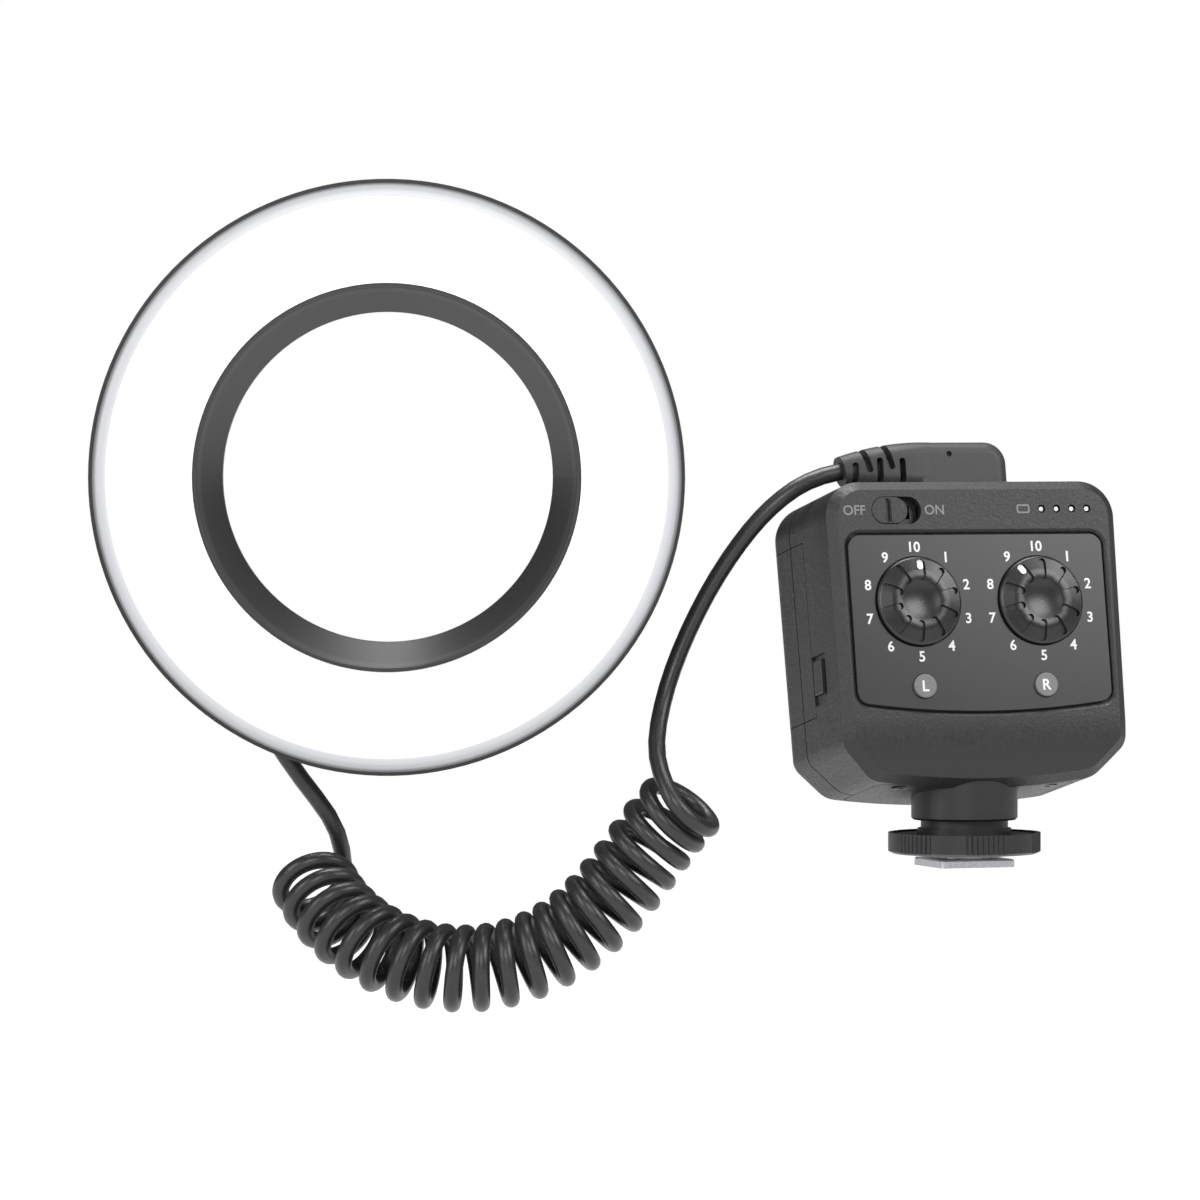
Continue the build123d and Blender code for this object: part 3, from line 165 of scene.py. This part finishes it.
# White ink and inlays: screen-printed, matt and slightly uneven in tone
white_ink, tree, surface, place = finish("white_screen_ink", Roughness=0.6)
grain(tree, surface, place, 0.25, 0.004, 0.3, tones=("#e6e6e6", "#fbfbfb"))

# Grey ink of the switch and battery marks
grey_ink, tree, surface, place = finish("grey_screen_ink", Roughness=0.6)
grain(tree, surface, place, 0.25, 0.004, 0.3, tones=("#7c7d7f", "#8b8c8e"))

# Push buttons: warm grey moulded ABS
button_abs, tree, surface, place = finish("grey_abs_buttons", Roughness=0.45, Ior=1.53)
grain(tree, surface, place, 0.2, 0.01, 0.4, tones=("#6e6e6f", "#7c7c7d"))

# Ring head and small mouldings: black ABS, finer grain than the case
black_abs, tree, surface, place = finish("black_moulded_abs", Roughness=0.42, Ior=1.53)
grain(tree, surface, place, 0.3, 0.02, 0.4, tones=("#0e0e0f", "#19191b"), rough=(0.36, 0.5))

# Sleeve: black ABS turned smooth, with faint rings where the tool went round, a painted highlight on the lip
# and painted shade at the throat and the outer edge
STREAK_WIDTH = 0.5
STREAK_SHADE = 0.82
sleeve_abs, tree, surface, place = finish("turned_abs_sleeve", Roughness=0.42, Ior=1.53)
away = from_ring_axis(tree, place)
streaks = node(tree, "TexNoise", {"W": away, "Scale": 1 / STREAK_WIDTH, "Detail": 3.0}, noise_dimensions="1D")
# The stops paint shade dark at the throat and the outer edge and a lighter painted highlight on the lip, over
# the sleeve's own grey
stops = ((THROAT_RADIUS, "#101011"), (THROAT_RADIUS + 0.9, "#303032"), (SLEEVE_RADIUS - 2.2, "#38383a"),
         (SLEEVE_RADIUS - 1.5, "#4b4b4d"), (SLEEVE_RADIUS - 0.9, "#38383a"), (SLEEVE_RADIUS, "#0d0d0e"))
painted_light_bands = banded(tree, away, stops)
dark = node(tree, "HueSaturation", {"Color": painted_light_bands, "Value": STREAK_SHADE})
mixed = node(tree, "Mix", {"Factor": streaks.outputs[0]}, data_type="RGBA")
tree.links.new(painted_light_bands, mixed.inputs[6])
tree.links.new(dark.outputs[0], mixed.inputs[7])
tree.links.new(mixed.outputs[2], surface.inputs["Base Color"])

# Diffuser: opal acrylic sheet with a painted glow, and painted shade where its edge turns down to the seat
PAINTED_DIFFUSER_GLOW = 0.55
opal, tree, surface, place = finish("opal_acrylic", Roughness=0.35, Ior=1.49)
away = from_ring_axis(tree, place)
# The stops keep the sheet's own white and darken it towards the rim as painted shade
stops = ((THROAT_RADIUS, "#f7f8fa"), (DIFFUSER_EDGE, "#f7f8fa"), (DIFFUSER_EDGE + 0.5, "#c4c5c8"),
         (RING_RADIUS - 0.7, "#aaabae"), (RING_RADIUS, "#6a6a6c"))
painted_light_bands = banded(tree, away, stops)
tree.links.new(painted_light_bands, surface.inputs["Base Color"])
# The emission is a painted glow in the same colours, so the painted shade dims it at the rim too
tree.links.new(painted_light_bands, surface.inputs["Emission Color"])
surface.inputs["Emission Strength"].default_value = PAINTED_DIFFUSER_GLOW

# Cord: soft PVC jacket, extruded, nearly black with a low sheen
soft_pvc, tree, surface, place = finish("soft_pvc_jacket", Roughness=0.36, Ior=1.54)
grain(tree, surface, place, 0.5, 0.008, 0.3, tones=("#262627", "#313132"), rough=(0.32, 0.42))

# Plug and gland: PVC moulded over the cord's ends, with a faint grain
plug_pvc, tree, surface, place = finish("moulded_pvc_plug", Roughness=0.5, Ior=1.5)
grain(tree, surface, place, 0.35, 0.03, 0.5, tones=("#29292b", "#3f3f41"), rough=(0.45, 0.6))

# Foot: bead-blasted zinc casting, pale and slightly grainy
cast_zinc, tree, surface, place = finish("bead_blasted_zinc", Metallic=1.0, Roughness=0.38)
grain(tree, surface, place, 0.35, 0.03, 0.5, tones=("#b4b3b8", "#dcdbe0"), rough=(0.3, 0.5))

# Wheel: black nylon, moulded
black_nylon, tree, surface, place = finish("black_nylon", Roughness=0.45, Ior=1.53)
grain(tree, surface, place, 0.3, 0.02, 0.4, tones=("#141415", "#262628"), rough=(0.4, 0.52))

# Steel: zinc-plated, pale grey with a faintly uneven shine
plated_steel, tree, surface, place = finish("zinc_plated_steel", Metallic=1.0, Roughness=0.32)
grain(tree, surface, place, 0.3, 0.006, 0.4, tones=("#8b8c8f", "#a9aaad"))

# Screws under the case: steel blacked in oil, dark with a dull glint
blacked_steel, tree, surface, place = finish("blacked_steel", Metallic=1.0, Roughness=0.4)
grain(tree, surface, place, 0.3, 0.006, 0.4, tones=("#1d1d1f", "#2a2a2c"))

# Circuit boards: green solder mask, mottled by the tracks under it
solder_mask, tree, surface, place = finish("green_solder_mask", Roughness=0.3)
grain(tree, surface, place, 1.6, 0.01, 0.5, detail=0.0, tones=("#0e3a20", "#1d5c34"))

# Cells: printed sleeve over steel, plain grey
cell_sleeve, tree, surface, place = finish("cell_sleeve", Metallic=0.6, Roughness=0.35)
grain(tree, surface, place, 2.0, 0.004, 0.3, tones=("#4b4d52", "#5a5c61"))

# Light windows: clear polycarbonate over a pale core
clear_window, tree, surface, place = finish("clear_polycarbonate", Roughness=0.12, Ior=1.58)
grain(tree, surface, place, 0.3, 0.004, 0.3, tones=("#b8b8b4", "#d8d8d4"))

# Light chips: yellow phosphor under clear gel
phosphor, tree, surface, place = finish("phosphor_gel", Roughness=0.2)
grain(tree, surface, place, 0.6, 0.01, 0.3, tones=("#d9b93a", "#efd765"))


# Pieces
SHARP_ANGLE = radians(35)
INK_DEPTH = 0.03
CAP_SHARE = 0.70


def shaped(name, shape, plane, look, body):
    """Turn a bmesh in millimetres on a plane into a piece that rides on a body."""
    bmesh.ops.transform(shape, matrix=plane, verts=shape.verts)
    mesh = bpy.data.meshes.new(name)
    shape.to_mesh(mesh)
    shape.free()
    mesh.materials.append(look)
    mesh.shade_smooth()
    mesh.set_sharp_from_angle(angle=SHARP_ANGLE)
    made = bpy.data.objects.new(name, mesh)
    bpy.context.collection.objects.link(made)
    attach(made, body)


def lettering(words, height, bold):
    """Raised lettering: each word with its middle (x, y), as one bmesh, letters of one height."""
    shape = bmesh.new()
    for word, x, y in words:
        text = bpy.data.curves.new("letters", "FONT")
        text.body = word
        text.align_x, text.align_y = "CENTER", "CENTER"
        text.size = height / CAP_SHARE
        text.extrude = INK_DEPTH
        text.offset = bold
        text.resolution_u = 4
        holder = bpy.data.objects.new("letters", text)
        bpy.context.collection.objects.link(holder)
        bpy.context.view_layer.update()
        mesh = bpy.data.meshes.new_from_object(holder)
        low = min(vertex.co.y for vertex in mesh.vertices)
        high = max(vertex.co.y for vertex in mesh.vertices)
        left = min(vertex.co.x for vertex in mesh.vertices)
        right = max(vertex.co.x for vertex in mesh.vertices)
        scale = height / (high - low)
        mesh.transform(Matrix.Translation((x, y, 0)) @ Matrix.Diagonal((scale, scale, 1, 1))
                       @ Matrix.Translation((-(left + right) / 2, -(low + high) / 2, 0)))
        shape.from_mesh(mesh)
        bpy.data.objects.remove(holder)
        bpy.data.curves.remove(text)
        bpy.data.meshes.remove(mesh)
    bmesh.ops.remove_doubles(shape, verts=shape.verts, dist=0.001)
    bmesh.ops.recalc_face_normals(shape, faces=shape.faces)
    return shape


# Camera
AIM = SEEN @ Vector((-85.9, 62.7, 0))
CAMERA_REACH = 2.0
CAMERA_LIFT = radians(1.5)
PICTURE_WIDTH = 0.2827
SENSOR_WIDTH = 36
camera_data = bpy.data.cameras.new("camera")
camera_data.lens = SENSOR_WIDTH * CAMERA_REACH / PICTURE_WIDTH
camera_data.sensor_width = SENSOR_WIDTH
camera_data.clip_start = 0.1
camera = bpy.data.objects.new("camera", camera_data)
bpy.context.collection.objects.link(camera)
outward = Vector((TOWARDS[0] * cos(CAMERA_LIFT), TOWARDS[1] * cos(CAMERA_LIFT), sin(CAMERA_LIFT)))
camera.location = AIM + outward * CAMERA_REACH
camera.rotation_euler = outward.to_track_quat("Z", "Y").to_euler()
bpy.context.scene.camera = camera

# Cord
# The same points as the solid cord has: (across, up, away) in millimetres
CURL_RADIUS = 8.4
CURL_TURNS = 20.83
CURL_LENGTH = 122.5
CURL_END_PHASE = radians(45)
CURL_START = (-154.8, -3.4, 20.0)
CURL_HEADINGS = (-64, -50, -36, -22, -9, 5, 20, 35, 47, 54, 53, 46)
CURL_TILTS = (50, 42, 33, 23, 13, 5, 1, 0, 0, 1, 8, 21)
GLAND_POINT = (-164.6, 31.8, 10.6)
RING_LEAD_POINT = (-158.1, 21.6, 10.6)
RING_CORNER = (-148.2, 9.0, 14.9)
PLUG_END = (-29.31, 92.85, 4.05)
PLUG_CORNER = (-35.73, 91.65, 1.53)
PLUG_LEAD_POINTS = ((-44.4, 86.0, -0.6), (-51.8, 78.0, 0.2), (-59.6, 66.4, 0.5), (-66.4, 52.8, 0.4),
                    (-71.0, 40.0, -1.2))
CURL_CORNER = (-73.3, 27.2, -8.6)
TURN_POINTS = 12
STEPS_TO_A_POINT = 16


def reading(values, share):
    """The value at a share of the way along an evenly spaced list."""
    at = share * (len(values) - 1)
    index = min(int(at), len(values) - 2)
    return values[index] + (values[index + 1] - values[index]) * (at - index)


def curl_points():
    """The curls as control points of the cord's spline, twelve to a turn."""
    steps = round(CURL_TURNS * TURN_POINTS) * STEPS_TO_A_POINT
    place = Vector(CURL_START)
    last = None
    points = []
    reach = CURL_RADIUS / cos(pi / TURN_POINTS)
    for index in range(steps + 1):
        share = index / steps
        heading = radians(reading(CURL_HEADINGS, share))
        tilt = radians(reading(CURL_TILTS, share))
        along = Vector((cos(tilt) * cos(heading), cos(tilt) * sin(heading), -sin(tilt)))
        if last:
            place = place + (along + last) * (CURL_LENGTH / steps / 2)
        last = along
        if index % STEPS_TO_A_POINT == STEPS_TO_A_POINT // 2:
            phase = CURL_END_PHASE + 2 * pi * CURL_TURNS * (1 - share)
            upper = Vector((-sin(heading), cos(heading), 0))
            front = -Vector((sin(tilt) * cos(heading), sin(tilt) * sin(heading), cos(tilt)))
            points.append(place + upper * (reach * cos(phase)) + front * (reach * sin(phase)))
    return points


def in_world(point):
    """A cord point in metres."""
    return SEEN @ Vector((point[0], point[1], -point[2]))


route = [GLAND_POINT, RING_LEAD_POINT, RING_CORNER] + curl_points() + [CURL_CORNER]
route += list(reversed(PLUG_LEAD_POINTS)) + [PLUG_CORNER, PLUG_END]
cord_curve = bpy.data.curves.new("curled_cord", "CURVE")
cord_curve.dimensions = "3D"
cord_curve.bevel_depth = WIRE_RADIUS / 1000
cord_curve.bevel_resolution = 5
cord_curve.use_fill_caps = True
spline = cord_curve.splines.new("NURBS")
spline.points.add(len(route) - 1)
for point, place in zip(spline.points, route):
    point.co = (*in_world(place), 1)
spline.order_u = 3
spline.use_endpoint_u = True
spline.resolution_u = 3
cord = bpy.data.objects.new("curled_cord", cord_curve)
bpy.context.collection.objects.link(cord)
cord_curve.materials.append(soft_pvc)
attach(cord, "base")
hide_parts("cord_coil", "cord_lead_ring", "cord_lead_plug")

# Looks of the solid parts
LOOKS = {
    spark_abs: ("front_case", "rear_case", "battery_door", "door_latch", "bottom_cover", "power_slider"),
    panel_gloss: ("control_panel",),
    satin_abs: ("dial_left", "dial_right"),
    white_ink: ("dial_pointer_left", "dial_pointer_right"),
    button_abs: ("button_left", "button_right"),
    sleeve_abs: ("ring_sleeve",),
    black_abs: ("ring_housing", "ring_outlet", "ring_lock_left", "ring_lock_right", "battery_tray",
                "button_switch_left", "button_switch_right", "power_switch", "cord_socket"),
    black_nylon: ("lock_wheel", "neck_collar"),
    opal: ("ring_diffuser",),
    plug_pvc: ("cord_plug", "ring_gland"),
    cast_zinc: ("shoe_foot", "lens_seat"),
    plated_steel: ("dial_shaft_left", "dial_shaft_right", "dimmer_control_left", "dimmer_control_right",
                   "board_screws", "case_screws", "door_hinge_pin", "door_catch", "battery_contacts",
                   "door_contacts", "clamp_washer", "post_nut", "ring_screws"),
    blacked_steel: ("cover_screws",),
    solder_mask: ("main_board", "led_board"),
    cell_sleeve: ("battery_cells",),
    clear_window: ("indicator_lights",),
    phosphor: ("ring_leds",),
}
for look, names in LOOKS.items():
    for name in names:
        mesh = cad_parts[name].data
        mesh.materials.clear()
        mesh.materials.append(look)

# Lettering
CORNER_STEPS = 4


def outlined(middle, size, corner, line):
    """A raised outline of a rounded rectangle, its line's width inside its size."""
    shape = bmesh.new()
    for shrink in (0, line):
        corners = bmesh.ops.create_grid(shape, x_segments=1, y_segments=1, size=0.5)["verts"]
        bmesh.ops.scale(shape, verts=corners, vec=(size[0] - 2 * shrink, size[1] - 2 * shrink, 1))
        bmesh.ops.translate(shape, verts=corners, vec=(*middle, 0))
        bmesh.ops.bevel(shape, geom=corners, affect="VERTICES", offset=corner - shrink,
                        segments=CORNER_STEPS, profile=0.5, material=-1)
    bmesh.ops.delete(shape, geom=shape.faces[:], context="FACES_ONLY")
    bmesh.ops.bridge_loops(shape, edges=shape.edges[:])
    walls = bmesh.ops.extrude_face_region(shape, geom=shape.faces[:])
    lifted = [item for item in walls["geom"] if isinstance(item, bmesh.types.BMVert)]
    bmesh.ops.translate(shape, verts=lifted, vec=(0, 0, INK_DEPTH))
    bmesh.ops.recalc_face_normals(shape, faces=shape.faces)
    return shape


# The numbers run clockwise round each dial from 1, with 10 at the top
NUMBER_CIRCLE, NUMBER_COUNT = 13.0, 10
NUMBER_HEIGHT, NUMBER_BOLD = 2.5, 0.07
LETTER_HEIGHT, LETTER_BOLD = 2.6, 0.08
MARK_HEIGHT, MARK_BOLD = 2.36, 0.05
OFF_PLACE, ON_PLACE = (-30.0, 29.0), (-9.9, 29.0)
BATTERY_PLACE, BATTERY_SIZE = (12.6, 29.1), (3.25, 2.1)
BATTERY_CORNER, BATTERY_LINE = 0.5, 0.38
for side, name, letter in ((-1, "left", "L"), (1, "right", "R")):
    words = []
    for number in range(1, NUMBER_COUNT + 1):
        turn = pi / 2 - 2 * pi * number / NUMBER_COUNT
        words.append((str(number), NUMBER_CIRCLE * cos(turn), NUMBER_CIRCLE * sin(turn)))
    plane = spot(FACE, side * DIAL_SPREAD, DIAL_UP, PANEL_PROUD)
    numbers = lettering(words, NUMBER_HEIGHT, NUMBER_BOLD)
    shaped(f"dial_numbers_{name}", numbers, plane, white_ink, "base")
    plane = spot(FACE, side * BUTTON_SPREAD, BUTTON_UP, BUTTON_PROUD)
    initial = lettering([(letter, 0, 0)], LETTER_HEIGHT, LETTER_BOLD)
    shaped(f"button_letter_{name}", initial, plane, white_ink, f"button_{name}")
switch_words = lettering([("OFF", *OFF_PLACE), ("ON", *ON_PLACE)], MARK_HEIGHT, MARK_BOLD)
shaped("switch_marks", switch_words, FACE, grey_ink, "base")
battery_mark = outlined(BATTERY_PLACE, BATTERY_SIZE, BATTERY_CORNER, BATTERY_LINE)
shaped("battery_mark", battery_mark, FACE, grey_ink, "base")

# Studio, its sizes and places in metres
FLOOR_HALF = 6
FLOOR_MIDDLE = (0, 2, -0.08)
SOFT_LIGHT = 0.14


def seen_directly(tree):
    """1 where the camera sees a surface, straight or in metal or glass, and 0 for its light."""
    path = node(tree, "LightPath")
    mirrored = node(tree, "Math", {0: path.outputs["Is Camera Ray"], 1: path.outputs["Is Glossy Ray"]},
                    operation="MAXIMUM")
    return node(tree, "Math", {0: mirrored.outputs[0], 1: path.outputs["Is Transmission Ray"]},
                operation="MAXIMUM").outputs[0]


floor = bpy.data.meshes.new("studio_floor")
shape = bmesh.new()
bmesh.ops.create_grid(shape, x_segments=1, y_segments=1, size=FLOOR_HALF)
bmesh.ops.translate(shape, verts=shape.verts, vec=FLOOR_MIDDLE)
shape.to_mesh(floor)
shape.free()
floor_look, tree, surface, place = finish("studio_floor", Roughness=0.9)
grain(tree, surface, place, 4.0, 0.01, 0.1, tones=("#7e7e7e", "#858585"))
surface.inputs["Emission Color"].default_value = tone("#fafafa")
tree.links.new(seen_directly(tree), surface.inputs["Emission Strength"])
floor.materials.append(floor_look)
floor_piece = bpy.data.objects.new("studio_floor", floor)
bpy.context.collection.objects.link(floor_piece)

world = bpy.data.worlds.new("studio")
world.use_nodes = True
tree = world.node_tree
tree.nodes.clear()
path = node(tree, "LightPath")
seen_white = node(tree, "Math", {0: path.outputs["Is Camera Ray"], 1: path.outputs["Is Transmission Ray"]},
                  operation="MAXIMUM")
soft = node(tree, "Background", {"Color": tone("#ffffff"), "Strength": SOFT_LIGHT})
white = node(tree, "Background", {"Color": tone("#ffffff"), "Strength": 1.0})
mix = node(tree, "MixShader", {0: seen_white.outputs[0], 1: soft.outputs[0], 2: white.outputs[0]})
node(tree, "OutputWorld", {"Surface": mix.outputs[0]})
bpy.context.scene.world = world


def lamp(name, place, aim, size, power):
    """A soft rectangular studio lamp, its place and aim in metres."""
    data = bpy.data.lights.new(name, "AREA")
    data.shape = "RECTANGLE"
    data.size, data.size_y = size
    data.energy = power
    made = bpy.data.objects.new(name, data)
    made.location = place
    made.rotation_euler = (Vector(place) - Vector(aim)).to_track_quat("Z", "Y").to_euler()
    bpy.context.collection.objects.link(made)


MIDDLE = (-0.08, 0.03, 0.06)
PANEL_MIDDLE = (0.0, -0.01, 0.056)
lamp("panel_lamp", (0.284, -0.365, 0.334), PANEL_MIDDLE, (0.34, 0.26), 1.8)
lamp("ring_lamp", (-0.5, -1.0, 0.5), MIDDLE, (0.5, 0.5), 5)
lamp("side_lamp", (-1.0, -0.2, 0.35), MIDDLE, (0.4, 0.6), 3.5)
lamp("top_lamp", (0.0, 0.1, 0.9), MIDDLE, (0.7, 0.4), 9)
bpy.context.scene.view_settings.view_transform = "Standard"
